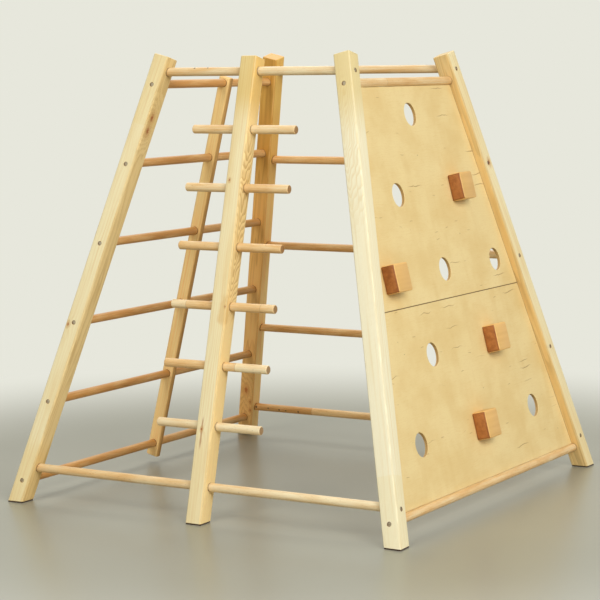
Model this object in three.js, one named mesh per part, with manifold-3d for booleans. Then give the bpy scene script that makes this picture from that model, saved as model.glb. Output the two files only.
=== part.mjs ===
// Climbing tower for small children.
//
// Four square pine posts lean in to a smaller square at the top. Round hardwood rungs join them in
// pairs: six rungs on the left side, five on the back, and one at the top and one at the bottom of the
// front and of the right side. A middle post on the front carries six cross pegs, a slim lath steadies
// the six rungs on the left, and the right side is a plywood wall in two panels, with round grip holes
// and hardwood hold blocks. Every rung end sits in a blind socket and is drawn up by a screw from outside.
//
// Millimetres, +Z up, +X to the right along the front, +Y from front to back. The origin is on the
// floor under the middle of the tower.

import * as THREE from "three";
import { mergeVertices } from "three/addons/utils/BufferGeometryUtils.js";
import Module from "manifold-3d";

const wasm = await Module();
wasm.setup();

// The tower as a whole: the places of the corner posts' centre lines.
const TOWER_HEIGHT = 1125;
const FLOOR_SPREAD = 1090;
const TOP_SPREAD = 525;

// Posts.
const POST_WIDTH = 45;
const POST_EDGE_RADIUS = 4;
const POST_TOP_BEVEL = 1.5;
const MIDDLE_POST_DROP = 5;
const PAD_THICKNESS = 3;
const PAD_INSET = 0.6;

// Rungs. The heights are those of the front and back rungs: the bottom one over the floor, and the top
// one under the posts' tops. The left and right rungs lie lower than these by a rung and a web of wood,
// so that the sockets of two sides pass each other inside a post.
const RUNG_DIAMETER = 22;
const BOTTOM_RUNG_HEIGHT = 86.5;
const TOP_RUNG_DROP = 38.5;
const SOCKET_WEB = 9;
const SOCKET_DEPTH = 11;
const LEFT_RUNGS = 6;
const BACK_RUNGS = 5;

// Cross pegs on the middle post.
const PEGS = 6;
const PEG_LENGTH = 298;
const PEG_END_BEVEL = 1.5;

// The lath on the left side.
const LATH_WIDTH = 38;
const LATH_THICKNESS = 21;
const LATH_EDGE_RADIUS = 8;
const LATH_END_BEVEL = 2;
const LATH_SETBACK = 42;
const LATH_OVERHANG_TOP = 16;
const LATH_OVERHANG_FOOT = 36;

// Screws.
const SCREW_LENGTH = 70;
const SCREW_SHANK = 4;
const SCREW_HEAD = 8.6;
const SCREW_TIP = 4;
const SCREW_SINK = 1.6;
const SCREW_BORE = 10;
const SCREW_DRIVE = 3.6;
const SCREW_DRIVE_DEPTH = 1.4;

// The plywood wall.
const PANEL_THICKNESS = 9;
const PANEL_TONGUE = 8;
const PANEL_SEAM_SHARE = 0.458;
const PANEL_SEAM_GAP = 1.2;
const GRIP_HOLE = 60;
const GRIP_HOLE_CHAMFER = 1;
const HOLD_SIDE = 70;
const HOLD_DEPTH = 36;
const HOLD_CORNER_RADIUS = 6;
const HOLD_EDGE_RADIUS = 3;
const HOLD_SCREW_PITCH = 34;
const HOLD_SCREW_LENGTH = 30;
const HOLD_SCREW_HEAD = 9;
const HOLD_SCREW_HEAD_HEIGHT = 2.6;

// Places on the wall: share of the wall's height, then share of its half width at that height.
const GRIP_HOLE_SHARES = [
  [0.928, 0],
  [0.73, -0.48],
  [0.531, 0],
  [0.531, 0.78],
  [0.333, -0.39],
  [0.134, -0.68],
  [0.134, 0.68],
];
const HOLD_SHARES = [
  [0.73, 0.49],
  [0.531, -0.78],
  [0.333, 0.38],
  [0.131, 0],
];

// Fits.
const SOCKET_CLEARANCE = 0.3;
const SEAT_GAP = 0.3;
const SCREW_CLEARANCE = 0.3;
const OVERRUN = 20;

// How finely round pieces are cut.
const RUNG_SIDES = 16;
const SCREW_SIDES = 8;
const SHANK_SIDES = 6;
const DRIVE_SIDES = 6;
const HOLE_SIDES = 24;
const CORNER_STEPS = 3;
const SMALL_CORNER_STEPS = 2;

// Sizes that follow.
const LEAN = Math.atan((FLOOR_SPREAD - TOP_SPREAD) / 2 / TOWER_HEIGHT);
const MIDDLE_POST_HEIGHT = TOWER_HEIGHT - MIDDLE_POST_DROP;
const RUNG_SPAN = TOWER_HEIGHT - TOP_RUNG_DROP - BOTTOM_RUNG_HEIGHT;
const RUNG_STAGGER = RUNG_DIAMETER + SOCKET_WEB;
const RUNG_RADIUS = RUNG_DIAMETER / 2;
const HIGH_RUNG_BOTTOM = BOTTOM_RUNG_HEIGHT;
const LOW_RUNG_BOTTOM = BOTTOM_RUNG_HEIGHT - RUNG_STAGGER;
const FOOT_HEIGHT = PAD_THICKNESS + SEAT_GAP;
const SCREW_HEAD_HEIGHT = (SCREW_HEAD - SCREW_SHANK) / 2;

// The far corner's post, whose screws are part of the rungs that they hold.
const FAR_POST = "back_left";

const UP = new THREE.Vector3(0, 0, 1);
const RIGHTWARD = new THREE.Vector3(1, 0, 0);
const BACKWARD = new THREE.Vector3(0, 1, 0);

// Finishes.
const wood = (color, roughness) => new THREE.MeshStandardMaterial({ color, roughness, metalness: 0 });
const pine = wood(0xead9a4, 0.55);
const warmPine = wood(0xd2a86a, 0.6);
const beech = wood(0xd9b27c, 0.5);
const plywood = wood(0xe8d09a, 0.55);
const oiledHardwood = wood(0xc08a50, 0.5);
const felt = wood(0x3a281c, 0.95);
const steel = new THREE.MeshStandardMaterial({ color: 0x8f8d88, roughness: 0.35, metalness: 0.9 });

// Solids: three.js geometry in, three.js geometry out, with joins and cuts between.
function solidOf(geometry) {
  const bare = geometry.clone();
  bare.deleteAttribute("normal");
  bare.deleteAttribute("uv");
  const merged = mergeVertices(bare);
  return new wasm.Manifold(
    new wasm.Mesh({
      numProp: 3,
      vertProperties: merged.attributes.position.array,
      triVerts: new Uint32Array(merged.index.array),
    }),
  );
}

function geometryOf(solid) {
  const mesh = solid.getMesh();
  const geometry = new THREE.BufferGeometry();
  geometry.setAttribute("position", new THREE.BufferAttribute(new Float32Array(mesh.vertProperties), 3));
  geometry.setIndex(new THREE.BufferAttribute(new Uint32Array(mesh.triVerts), 1));
  const faceted = geometry.toNonIndexed();
  faceted.computeVertexNormals();
  return faceted;
}

function piece(name, geometry, material) {
  const mesh = new THREE.Mesh(geometry, material);
  mesh.name = name;
  return mesh;
}

// A frame whose Z runs along a direction, with the least turn from upright.
function frameAlong(origin, direction) {
  const turn = new THREE.Quaternion().setFromUnitVectors(UP, direction.clone().normalize());
  return new THREE.Matrix4().compose(origin, turn, new THREE.Vector3(1, 1, 1));
}

function placed(object, frame) {
  object.applyMatrix4(frame);
  return object;
}

// A tool that was drawn in one frame, moved into another.
function carried(geometry, from, into) {
  const change = into.clone().invert().multiply(from);
  return geometry.clone().applyMatrix4(change);
}

// The outline of a rectangle with rounded corners, centred on the origin.
function roundedRectangle(width, depth, radius) {
  const x = width / 2 - radius;
  const y = depth / 2 - radius;
  const outline = new THREE.Shape();
  outline.absarc(x, y, radius, 0, Math.PI / 2);
  outline.absarc(-x, y, radius, Math.PI / 2, Math.PI);
  outline.absarc(-x, -y, radius, Math.PI, (3 * Math.PI) / 2);
  outline.absarc(x, -y, radius, (3 * Math.PI) / 2, 2 * Math.PI);
  return outline;
}

// A round bar from one height on its own Z to another.
function bar(diameter, from, to, sides) {
  const geometry = new THREE.CylinderGeometry(diameter / 2, diameter / 2, to - from, sides);
  geometry.rotateX(Math.PI / 2);
  geometry.translate(0, 0, (from + to) / 2);
  return geometry;
}

// A turned piece on its own Z, from [radius, height] points that start and end on the axis.
function turned(points, sides) {
  const profile = points.map(([radius, height]) => new THREE.Vector2(radius, height));
  const geometry = new THREE.LatheGeometry(profile, sides);
  geometry.rotateX(Math.PI / 2);
  return geometry;
}

// The centre line of a post or lath that leans, as its point at any height.
function leaningLine(footX, footY, topX, topY) {
  const foot = new THREE.Vector3(footX, footY, 0);
  const top = new THREE.Vector3(topX, topY, TOWER_HEIGHT);
  return {
    at: (height) => foot.clone().lerp(top, height / TOWER_HEIGHT),
    frame: frameAlong(foot, top.clone().sub(foot)),
    stretch: top.clone().sub(foot).length() / TOWER_HEIGHT,
  };
}

function postLine(sideX, sideY) {
  const floor = FLOOR_SPREAD / 2;
  const top = TOP_SPREAD / 2;
  return leaningLine(sideX * floor, sideY * floor, sideX * top, sideY * top);
}

const lines = {
  front_left: postLine(-1, -1),
  front_middle: postLine(0, -1),
  front_right: postLine(1, -1),
  back_right: postLine(1, 1),
  back_left: postLine(-1, 1),
  left_lath: leaningLine(-FLOOR_SPREAD / 2, LATH_SETBACK, -TOP_SPREAD / 2, LATH_SETBACK),
};

// How far a post's outer face lies from its centre line, measured level along a rung.
function levelHalfWidth(line, along) {
  const face = new THREE.Vector3().setFromMatrixColumn(line.frame, along === RIGHTWARD ? 0 : 1);
  return POST_WIDTH / 2 / Math.abs(face.dot(along));
}

// Where a socket's floor lies, counted outward from the post's centre line. Sockets are shallow and
// stop short of that line, so those of two sides never meet.
function socketReach(line, along) {
  return SOCKET_DEPTH - levelHalfWidth(line, along);
}

// Rung rows, as height of every rung and the two posts that hold it.
const spread = (count, bottom) =>
  Array.from({ length: count }, (_, i) => bottom + (RUNG_SPAN * i) / (count - 1));

const rungRow = (side, ends, along, heights) => ({ side, ends, along, heights });

const rungRows = [
  rungRow("front", ["front_left", "front_right"], RIGHTWARD, spread(2, HIGH_RUNG_BOTTOM)),
  rungRow("back", ["back_left", "back_right"], RIGHTWARD, spread(BACK_RUNGS, HIGH_RUNG_BOTTOM)),
  rungRow("left", ["front_left", "back_left"], BACKWARD, spread(LEFT_RUNGS, LOW_RUNG_BOTTOM)),
  rungRow("right", ["front_right", "back_right"], BACKWARD, spread(2, LOW_RUNG_BOTTOM)),
];

const pegHeights = spread(PEGS + 2, HIGH_RUNG_BOTTOM).slice(1, -1);

// One entry for each rung end: its post, its height and the way from the rung out of the post.
const rungEnds = rungRows.flatMap((row) =>
  row.heights.flatMap((height, index) =>
    row.ends.map((post, end) => ({
      post,
      rung: row.side + "_rung_" + (index + 1),
      face: row.along === RIGHTWARD ? ["left", "right"][end] : ["front", "back"][end],
      number: index + 1,
      along: row.along,
      centre: lines[post].at(height),
      outward: row.along.clone().multiplyScalar(end === 0 ? -1 : 1),
    })),
  ),
);

// Screws. The head's flat, with its drive recess, is at z 0 and the tip points down.
function screwBody() {
  const neck = -SCREW_HEAD_HEIGHT;
  const shank = SCREW_SHANK / 2;
  const body = turned(
    [
      [0, -SCREW_LENGTH],
      [shank, SCREW_TIP - SCREW_LENGTH],
      [shank, neck],
      [SCREW_HEAD / 2, 0],
      [0, 0],
    ],
    SCREW_SIDES,
  );
  const drive = bar(SCREW_DRIVE, -SCREW_DRIVE_DEPTH, OVERRUN, DRIVE_SIDES);
  return solidOf(body).subtract(solidOf(drive));
}

// What a screw needs cut: a shank hole, a countersink and the bore above the head, a little wider.
function screwHole() {
  const shank = SCREW_SHANK / 2 + SCREW_CLEARANCE;
  const bore = SCREW_BORE / 2;
  const neck = -SCREW_HEAD_HEIGHT;
  return turned(
    [
      [0, -SCREW_LENGTH - SEAT_GAP],
      [shank, -SCREW_LENGTH - SEAT_GAP],
      [shank, neck - SCREW_CLEARANCE],
      [bore, -SCREW_CLEARANCE],
      [bore, OVERRUN],
      [0, OVERRUN],
    ],
    SCREW_SIDES,
  );
}

// A hole for a shank alone, where the screw bites into a rung.
function pilotHole(length) {
  return bar(SCREW_SHANK + 2 * SCREW_CLEARANCE, -length - SEAT_GAP, OVERRUN, SCREW_SIDES);
}

// The frame of the screw at a rung end: on the rung's centre line, sunk under the post's outer face.
function screwFrame(end) {
  const out = levelHalfWidth(lines[end.post], end.along) - SCREW_SINK;
  return frameAlong(end.centre.clone().addScaledVector(end.outward, out), end.outward);
}

// The socket of a rung end: from its floor out of the post's inner face.
function socket(end) {
  const reach = socketReach(lines[end.post], end.along);
  const frame = frameAlong(end.centre, end.outward);
  const tool = bar(RUNG_DIAMETER + 2 * SOCKET_CLEARANCE, -POST_WIDTH, reach, RUNG_SIDES);
  return { tool, frame };
}

// A post's bar of wood, from under the floor to its square-cut top, in the post's own frame.
function postBlank(width, depth, radius, topBevel, length) {
  const outline = roundedRectangle(width - 2 * topBevel, depth - 2 * topBevel, radius - topBevel);
  const blank = new THREE.ExtrudeGeometry(outline, {
    depth: length + OVERRUN - topBevel,
    bevelThickness: topBevel,
    bevelSize: topBevel,
    bevelSegments: 1,
    curveSegments: CORNER_STEPS,
  });
  blank.translate(0, 0, -OVERRUN);
  return solidOf(blank);
}

// A level slab of the tower's whole floor area, between two heights.
function levelSlab(from, to) {
  const side = FLOOR_SPREAD + POST_WIDTH + 2 * OVERRUN;
  return new THREE.BoxGeometry(side, side, to - from).translate(0, 0, (from + to) / 2);
}

const WORLD = new THREE.Matrix4();

function cut(solid, frame, tools) {
  return tools.reduce(
    (left, { tool, frame: toolFrame }) => left.subtract(solidOf(carried(tool, toolFrame, frame))),
    solid,
  );
}

// The wall's own frame: X is backward, Y up the slope and Z out of the wall's face.
function wallFrame() {
  const upSlope = new THREE.Vector3(-Math.sin(LEAN), 0, Math.cos(LEAN));
  const outward = new THREE.Vector3().crossVectors(BACKWARD, upSlope);
  return new THREE.Matrix4()
    .makeBasis(BACKWARD, upSlope, outward)
    .setPosition(FLOOR_SPREAD / 2, 0, 0);
}

const WALL = wallFrame();

// Places up the wall's slope. The panels stand on the bottom rung and reach up to the top one.
const upTheSlope = (height) => height / Math.cos(LEAN);
const wallBottom = upTheSlope(LOW_RUNG_BOTTOM) + RUNG_RADIUS + SEAT_GAP;
const wallTop = upTheSlope(LOW_RUNG_BOTTOM + RUNG_SPAN) - RUNG_RADIUS - SEAT_GAP;
const wallHeight = wallTop - wallBottom;
const wallSeam = wallBottom + PANEL_SEAM_SHARE * wallHeight;

// Half the clear width between the two posts at a place up the slope.
function wallHalfWidth(slope) {
  const centreLine = FLOOR_SPREAD / 2 - Math.sin(LEAN) * slope;
  return centreLine - levelHalfWidth(lines.front_right, BACKWARD);
}

// The four-sided plate between two places up the slope, grown sideways into the posts' grooves.
function wallPlate(from, to, tongue, thickness, faceOffset) {
  const outline = new THREE.Shape();
  outline.moveTo(-wallHalfWidth(from) - tongue, from);
  outline.lineTo(wallHalfWidth(from) + tongue, from);
  outline.lineTo(wallHalfWidth(to) + tongue, to);
  outline.lineTo(-wallHalfWidth(to) - tongue, to);
  outline.closePath();
  const plate = new THREE.ExtrudeGeometry(outline, { depth: thickness, bevelEnabled: false });
  return plate.translate(0, 0, faceOffset - thickness);
}

// The groove that both right-hand posts get: it runs from the lower rung's socket to the upper one's.
function grooveTool() {
  const plate = wallPlate(
    wallBottom - RUNG_RADIUS,
    wallTop + RUNG_RADIUS,
    PANEL_TONGUE + SEAT_GAP,
    PANEL_THICKNESS + 2 * SEAT_GAP,
    SEAT_GAP,
  );
  return { tool: plate, frame: WALL };
}

// A corner post or the middle post, with its sockets, screw holes and, on the right, its groove.
function postSolid(name, height) {
  const line = lines[name];
  const ends = rungEnds.filter((end) => end.post === name);
  const tools = [
    { tool: levelSlab(-OVERRUN - POST_WIDTH, FOOT_HEIGHT), frame: WORLD },
    ...ends.map(socket),
    ...ends.map((end) => ({ tool: screwHole(), frame: screwFrame(end) })),
  ];
  if (name.endsWith("right")) tools.push(grooveTool());
  const blank = postBlank(POST_WIDTH, POST_WIDTH, POST_EDGE_RADIUS, POST_TOP_BEVEL, height * line.stretch);
  return cut(blank, line.frame, tools);
}

// The dark pad under a post, leaning with it and cut level top and bottom.
function footPad(name) {
  const line = lines[name];
  const side = POST_WIDTH - 2 * PAD_INSET;
  const outline = roundedRectangle(side, side, POST_EDGE_RADIUS - PAD_INSET);
  const blank = new THREE.ExtrudeGeometry(outline, {
    depth: 2 * OVERRUN,
    bevelEnabled: false,
    curveSegments: SMALL_CORNER_STEPS,
  });
  blank.translate(0, 0, -OVERRUN);
  const slab = carried(levelSlab(0, PAD_THICKNESS), WORLD, line.frame);
  const pad = solidOf(blank).intersect(solidOf(slab));
  return placed(piece("foot_pad_" + name, geometryOf(pad), felt), line.frame);
}

// Through holes for what passes level through a post or lath.
function throughHoles(line, heights, along) {
  return heights.map((height) => ({
    tool: bar(RUNG_DIAMETER + 2 * SOCKET_CLEARANCE, -POST_WIDTH, POST_WIDTH, RUNG_SIDES),
    frame: frameAlong(line.at(height), along),
  }));
}

function cornerPost(name) {
  const solid = postSolid(name, TOWER_HEIGHT);
  const material = name === FAR_POST ? warmPine : pine;
  return placed(piece("post_" + name, geometryOf(solid), material), lines[name].frame);
}

function middlePost() {
  const line = lines.front_middle;
  const frontRungs = spread(2, HIGH_RUNG_BOTTOM);
  const holes = throughHoles(line, [...pegHeights, ...frontRungs], RIGHTWARD);
  const solid = cut(postSolid("front_middle", MIDDLE_POST_HEIGHT), line.frame, holes);
  return placed(piece("post_front_middle", geometryOf(solid), pine), line.frame);
}

function leftLath() {
  const line = lines.left_lath;
  const heights = spread(LEFT_RUNGS, LOW_RUNG_BOTTOM);
  const foot = (heights[0] - LATH_OVERHANG_FOOT) * line.stretch;
  const top = (heights[heights.length - 1] + LATH_OVERHANG_TOP) * line.stretch;
  const outline = roundedRectangle(
    LATH_WIDTH - 2 * LATH_END_BEVEL,
    LATH_THICKNESS - 2 * LATH_END_BEVEL,
    LATH_EDGE_RADIUS - LATH_END_BEVEL,
  );
  const blank = new THREE.ExtrudeGeometry(outline, {
    depth: top - foot - 2 * LATH_END_BEVEL,
    bevelThickness: LATH_END_BEVEL,
    bevelSize: LATH_END_BEVEL,
    bevelSegments: 1,
    curveSegments: CORNER_STEPS,
  });
  blank.translate(0, 0, foot + LATH_END_BEVEL);
  const solid = cut(solidOf(blank), line.frame, throughHoles(line, heights, BACKWARD));
  return placed(piece("lath_left", geometryOf(solid), warmPine), line.frame);
}

// A rung in its row: a plain bar with a pilot hole in each end. Where it meets the far post it
// carries its screw instead.
function rung(row, index) {
  const height = row.heights[index];
  const [from, to] = row.ends.map((name) => lines[name].at(height));
  const reach = socketReach(lines[row.ends[0]], row.along) - SEAT_GAP;
  const length = from.distanceTo(to) + 2 * reach;
  const name = row.side + "_rung_" + (index + 1);
  const frame = frameAlong(from.clone().addScaledVector(row.along, -reach), row.along);
  const ends = rungEnds.filter((end) => end.rung === name);
  const pilots = ends
    .filter((end) => end.post !== FAR_POST)
    .map((end) => ({ tool: pilotHole(SCREW_LENGTH), frame: screwFrame(end) }));
  const drilled = cut(solidOf(bar(RUNG_DIAMETER, 0, length, RUNG_SIDES)), frame, pilots);
  const whole = ends
    .filter((end) => end.post === FAR_POST)
    .map((end) => carried(geometryOf(screwBody()), screwFrame(end), frame))
    .reduce((joined, screwPiece) => joined.add(solidOf(screwPiece)), drilled);
  return placed(piece(name, geometryOf(whole), beech), frame);
}

// A cross peg, with bevelled ends and centred on the middle post.
function peg(index) {
  const half = PEG_LENGTH / 2;
  const points = [
    [0, -half],
    [RUNG_RADIUS - PEG_END_BEVEL, -half],
    [RUNG_RADIUS, PEG_END_BEVEL - half],
    [RUNG_RADIUS, half - PEG_END_BEVEL],
    [RUNG_RADIUS - PEG_END_BEVEL, half],
    [0, half],
  ];
  const frame = frameAlong(lines.front_middle.at(pegHeights[index]), RIGHTWARD);
  return placed(piece("peg_" + (index + 1), turned(points, RUNG_SIDES), beech), frame);
}

function screw(end) {
  const name = "screw_" + end.post + "_" + end.face + "_" + end.number;
  return placed(piece(name, geometryOf(screwBody()), steel), screwFrame(end));
}

// Where a grip hole or a hold block lies on the wall.
function wallPlace([heightShare, sideShare]) {
  const slope = wallBottom + heightShare * wallHeight;
  return new THREE.Vector3(sideShare * wallHalfWidth(slope), slope, 0);
}

// A grip hole through the plywood, chamfered on both faces.
function gripHoleTool(place) {
  const radius = GRIP_HOLE / 2;
  const flare = radius + GRIP_HOLE_CHAMFER + OVERRUN;
  const back = -PANEL_THICKNESS;
  const tool = turned(
    [
      [0, back - OVERRUN],
      [flare, back - OVERRUN],
      [radius, back + GRIP_HOLE_CHAMFER],
      [radius, -GRIP_HOLE_CHAMFER],
      [flare, OVERRUN],
      [0, OVERRUN],
    ],
    HOLE_SIDES,
  );
  return tool.translate(place.x, place.y, 0);
}

// The two screws of a hold block, put through the panel from inside, drawn in the wall's frame.
function holdScrewPlaces(place) {
  return [-1, 1].map((side) => new THREE.Vector3(place.x, place.y + (side * HOLD_SCREW_PITCH) / 2, 0));
}

function holdScrew(place) {
  const middle = -PANEL_THICKNESS / 2;
  const headTop = -PANEL_THICKNESS - HOLD_SCREW_HEAD_HEIGHT;
  const tip = HOLD_SCREW_LENGTH - PANEL_THICKNESS;
  const head = bar(HOLD_SCREW_HEAD, headTop, middle, SCREW_SIDES);
  const shank = bar(SCREW_SHANK, middle, tip, SHANK_SIDES);
  return solidOf(head).add(solidOf(shank)).translate(place.x, place.y, 0);
}

// A plywood panel, with its grip holes, and with the screws of its hold blocks as part of its body.
function panel(name, from, to) {
  const isInside = (place) => place.y > from && place.y < to;
  const plate = solidOf(wallPlate(from, to, PANEL_TONGUE, PANEL_THICKNESS, 0));
  const pierced = GRIP_HOLE_SHARES.map(wallPlace)
    .filter(isInside)
    .reduce((left, place) => left.subtract(solidOf(gripHoleTool(place))), plate);
  const screwed = HOLD_SHARES.map(wallPlace)
    .filter(isInside)
    .flatMap(holdScrewPlaces)
    .reduce((left, place) => left.add(holdScrew(place)), pierced);
  return piece(name, geometryOf(screwed), plywood);
}

// A hold block: a square of hardwood with every edge eased, and two blind holes for its screws.
function holdBlock(shares, index) {
  const place = wallPlace(shares);
  const side = HOLD_SIDE - 2 * HOLD_EDGE_RADIUS;
  const outline = roundedRectangle(side, side, HOLD_CORNER_RADIUS - HOLD_EDGE_RADIUS);
  const block = new THREE.ExtrudeGeometry(outline, {
    depth: HOLD_DEPTH - 2 * HOLD_EDGE_RADIUS,
    bevelThickness: HOLD_EDGE_RADIUS,
    bevelSize: HOLD_EDGE_RADIUS,
    bevelSegments: SMALL_CORNER_STEPS,
    curveSegments: SMALL_CORNER_STEPS,
  });
  block.translate(0, 0, HOLD_EDGE_RADIUS);
  const depth = HOLD_SCREW_LENGTH - PANEL_THICKNESS;
  const hole = bar(SCREW_SHANK + 2 * SCREW_CLEARANCE, -OVERRUN, depth + SEAT_GAP, SHANK_SIDES);
  const drilled = [-1, 1].reduce(
    (left, way) => left.subtract(solidOf(hole.clone().translate(0, (way * HOLD_SCREW_PITCH) / 2, 0))),
    solidOf(block),
  );
  const mesh = piece("hold_block_" + (index + 1), geometryOf(drilled), oiledHardwood);
  mesh.position.set(place.x, place.y, SEAT_GAP);
  return mesh;
}

function climbingWall() {
  const wall = new THREE.Group();
  wall.add(panel("panel_lower", wallBottom, wallSeam - PANEL_SEAM_GAP / 2));
  wall.add(panel("panel_upper", wallSeam + PANEL_SEAM_GAP / 2, wallTop));
  HOLD_SHARES.forEach((shares, index) => wall.add(holdBlock(shares, index)));
  return placed(wall, WALL);
}

// The tower.
const tower = new THREE.Group();
["front_left", "front_right", "back_right", "back_left"].forEach((name) => tower.add(cornerPost(name)));
tower.add(middlePost());
tower.add(leftLath());
rungRows.forEach((row) => row.heights.forEach((_, index) => tower.add(rung(row, index))));
pegHeights.forEach((_, index) => tower.add(peg(index)));
rungEnds.filter((end) => end.post !== FAR_POST).forEach((end) => tower.add(screw(end)));
tower.add(climbingWall());
["front_left", "front_middle", "front_right", "back_right", "back_left"].forEach((name) =>
  tower.add(footPad(name)),
);

export default tower;
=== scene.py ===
"""Climbing tower: wood, plywood and steel finishes, screw heads, studio stage and camera."""

import math

import bmesh
import bpy
from mathutils import Matrix, Vector


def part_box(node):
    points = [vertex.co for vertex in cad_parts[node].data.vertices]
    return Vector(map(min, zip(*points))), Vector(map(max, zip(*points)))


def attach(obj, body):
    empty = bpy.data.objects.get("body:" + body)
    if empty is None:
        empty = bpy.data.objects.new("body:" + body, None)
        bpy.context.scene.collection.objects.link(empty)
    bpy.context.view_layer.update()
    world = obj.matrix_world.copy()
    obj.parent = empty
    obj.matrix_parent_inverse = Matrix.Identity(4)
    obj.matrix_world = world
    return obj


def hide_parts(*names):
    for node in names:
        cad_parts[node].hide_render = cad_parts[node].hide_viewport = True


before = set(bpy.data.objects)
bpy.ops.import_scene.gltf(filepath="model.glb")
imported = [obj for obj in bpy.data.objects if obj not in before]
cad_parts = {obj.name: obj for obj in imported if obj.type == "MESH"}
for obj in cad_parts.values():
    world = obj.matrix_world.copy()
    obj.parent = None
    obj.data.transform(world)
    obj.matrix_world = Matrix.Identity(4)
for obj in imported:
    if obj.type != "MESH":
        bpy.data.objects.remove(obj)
for starter in ("Cube", "Light", "Camera"):
    if starter in bpy.data.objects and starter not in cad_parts:
        bpy.data.objects.remove(bpy.data.objects[starter])
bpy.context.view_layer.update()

bl_info = {
    "name": "Climbing tower",
    "version": (1, 0, 0),
    "blender": (4, 5, 0),
    "location": "3D View > Sidebar > Tower",
    "description": "Dresses the climbing tower in its woods, screws and pads, and sets up the studio",
    "category": "Object",
}

MM = 0.001
BODY = "root"
UP = Vector((0, 0, 1))
BACKWARD = Vector((0, 1, 0))
SIDES = {
    "left": Vector((-1, 0, 0)),
    "right": Vector((1, 0, 0)),
    "front": Vector((0, -1, 0)),
    "back": BACKWARD,
}

# The tower's lines, in metres: the posts' centre lines on the floor and at the full height.
FLOOR_HALF = 0.545
TOP_HALF = 0.2625
FULL_HEIGHT = 1.125

# The side of the tower's middle on which each sawn board stands, and its setback in metres.
BOARD_LINES = {
    "post_front_left": (-1, -1, 0),
    "post_front_middle": (0, -1, 0),
    "post_front_right": (1, -1, 0),
    "post_back_right": (1, 1, 0),
    "post_back_left": (-1, 1, 0),
    "lath_left": (-1, 0, 0.042),
}

# Half sizes across the grain and other small sizes, in millimetres.
POST_HALVES = (22.5, 22.5)
LATH_HALVES = (19.0, 10.5)
HOLD_HALVES = (35.0, 35.0, 18.0)
HOLD_SCREW_REACH = 17.0
SEAM_GAP = 1.2
TONGUE_BEVEL = 0.3
FACET_WELD = 0.005

# Facets that turn by less than these angles, in degrees, are shaded as one curve.
ROUND_TURN = 30
POST_TURN = 34
BLOCK_TURN = 50

# Brightness of the steel rim on what carries a screw head, as a share of the steel's own; kept dark as
# painted shade, since it shows only in the recess and the thin gap round the head.
RECESS_SHADE_SHARE = 0.12


# Frames of the pieces, whose Z runs along the grain.
def along(origin, direction):
    turn = UP.rotation_difference(Vector(direction))
    return Matrix.Translation(origin) @ turn.to_matrix().to_4x4()


def board_frame(node):
    side_x, side_y, setback = BOARD_LINES[node]
    foot = Vector((side_x * FLOOR_HALF, side_y * FLOOR_HALF + setback, 0))
    top = Vector((side_x * TOP_HALF, side_y * TOP_HALF + setback, FULL_HEIGHT))
    return along(foot, top - foot)


def middle(node):
    low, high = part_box(node)
    return (low + high) / 2


def box_end(node, direction):
    """The middle of a node's box, moved to the side that faces along a direction."""
    low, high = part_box(node)
    half = (high - low) / 2
    return middle(node) + Vector((half.x * direction.x, half.y * direction.y, half.z * direction.z))


def runs_across(node):
    """Whether a rung or peg lies along X, and not along Y."""
    low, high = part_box(node)
    return high.x - low.x > high.y - low.y


def bar_frame(node):
    """A rung's frame: Z runs along it, and is 0 at the tower's middle."""
    place = middle(node)
    if runs_across(node):
        return along((0, place.y, place.z), (1, 0, 0))
    return along((place.x, 0, place.z), (0, 1, 0))


def wall_axes():
    """The wall's axes: backward, up its slope and outward."""
    lean = math.atan((FLOOR_HALF - TOP_HALF) / FULL_HEIGHT)
    up_slope = Vector((-math.sin(lean), 0, math.cos(lean)))
    return BACKWARD, up_slope, BACKWARD.cross(up_slope)


def wall_frame(place=(FLOOR_HALF, 0, 0)):
    """The wall's frame at the middle of its foot, or moved to a place."""
    return Matrix.Translation(place) @ Matrix(wall_axes()).transposed().to_4x4()


def seam_height():
    """How far up the slope the lower panel ends, in metres."""
    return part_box("panel_lower")[1].z / wall_axes()[1].z


def line_half(height):
    """How far the posts' centre lines lie from the tower's middle planes at a height."""
    return FLOOR_HALF - (FLOOR_HALF - TOP_HALF) * height / FULL_HEIGHT


def slabs_of(nodes, across):
    """The faces of boards that a rung along X or Y meets: a direction, its offset and half a width."""
    axis = 0 if across else 1
    slabs = []
    for node in nodes:
        board = board_frame(node)
        direction = board.to_3x3().col[axis].copy()
        slabs.append((direction, direction.dot(board.translation) / MM, BOARDS[node].halves[axis]))
    return slabs


def nodes_named(start):
    return sorted(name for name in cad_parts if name.startswith(start))


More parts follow.
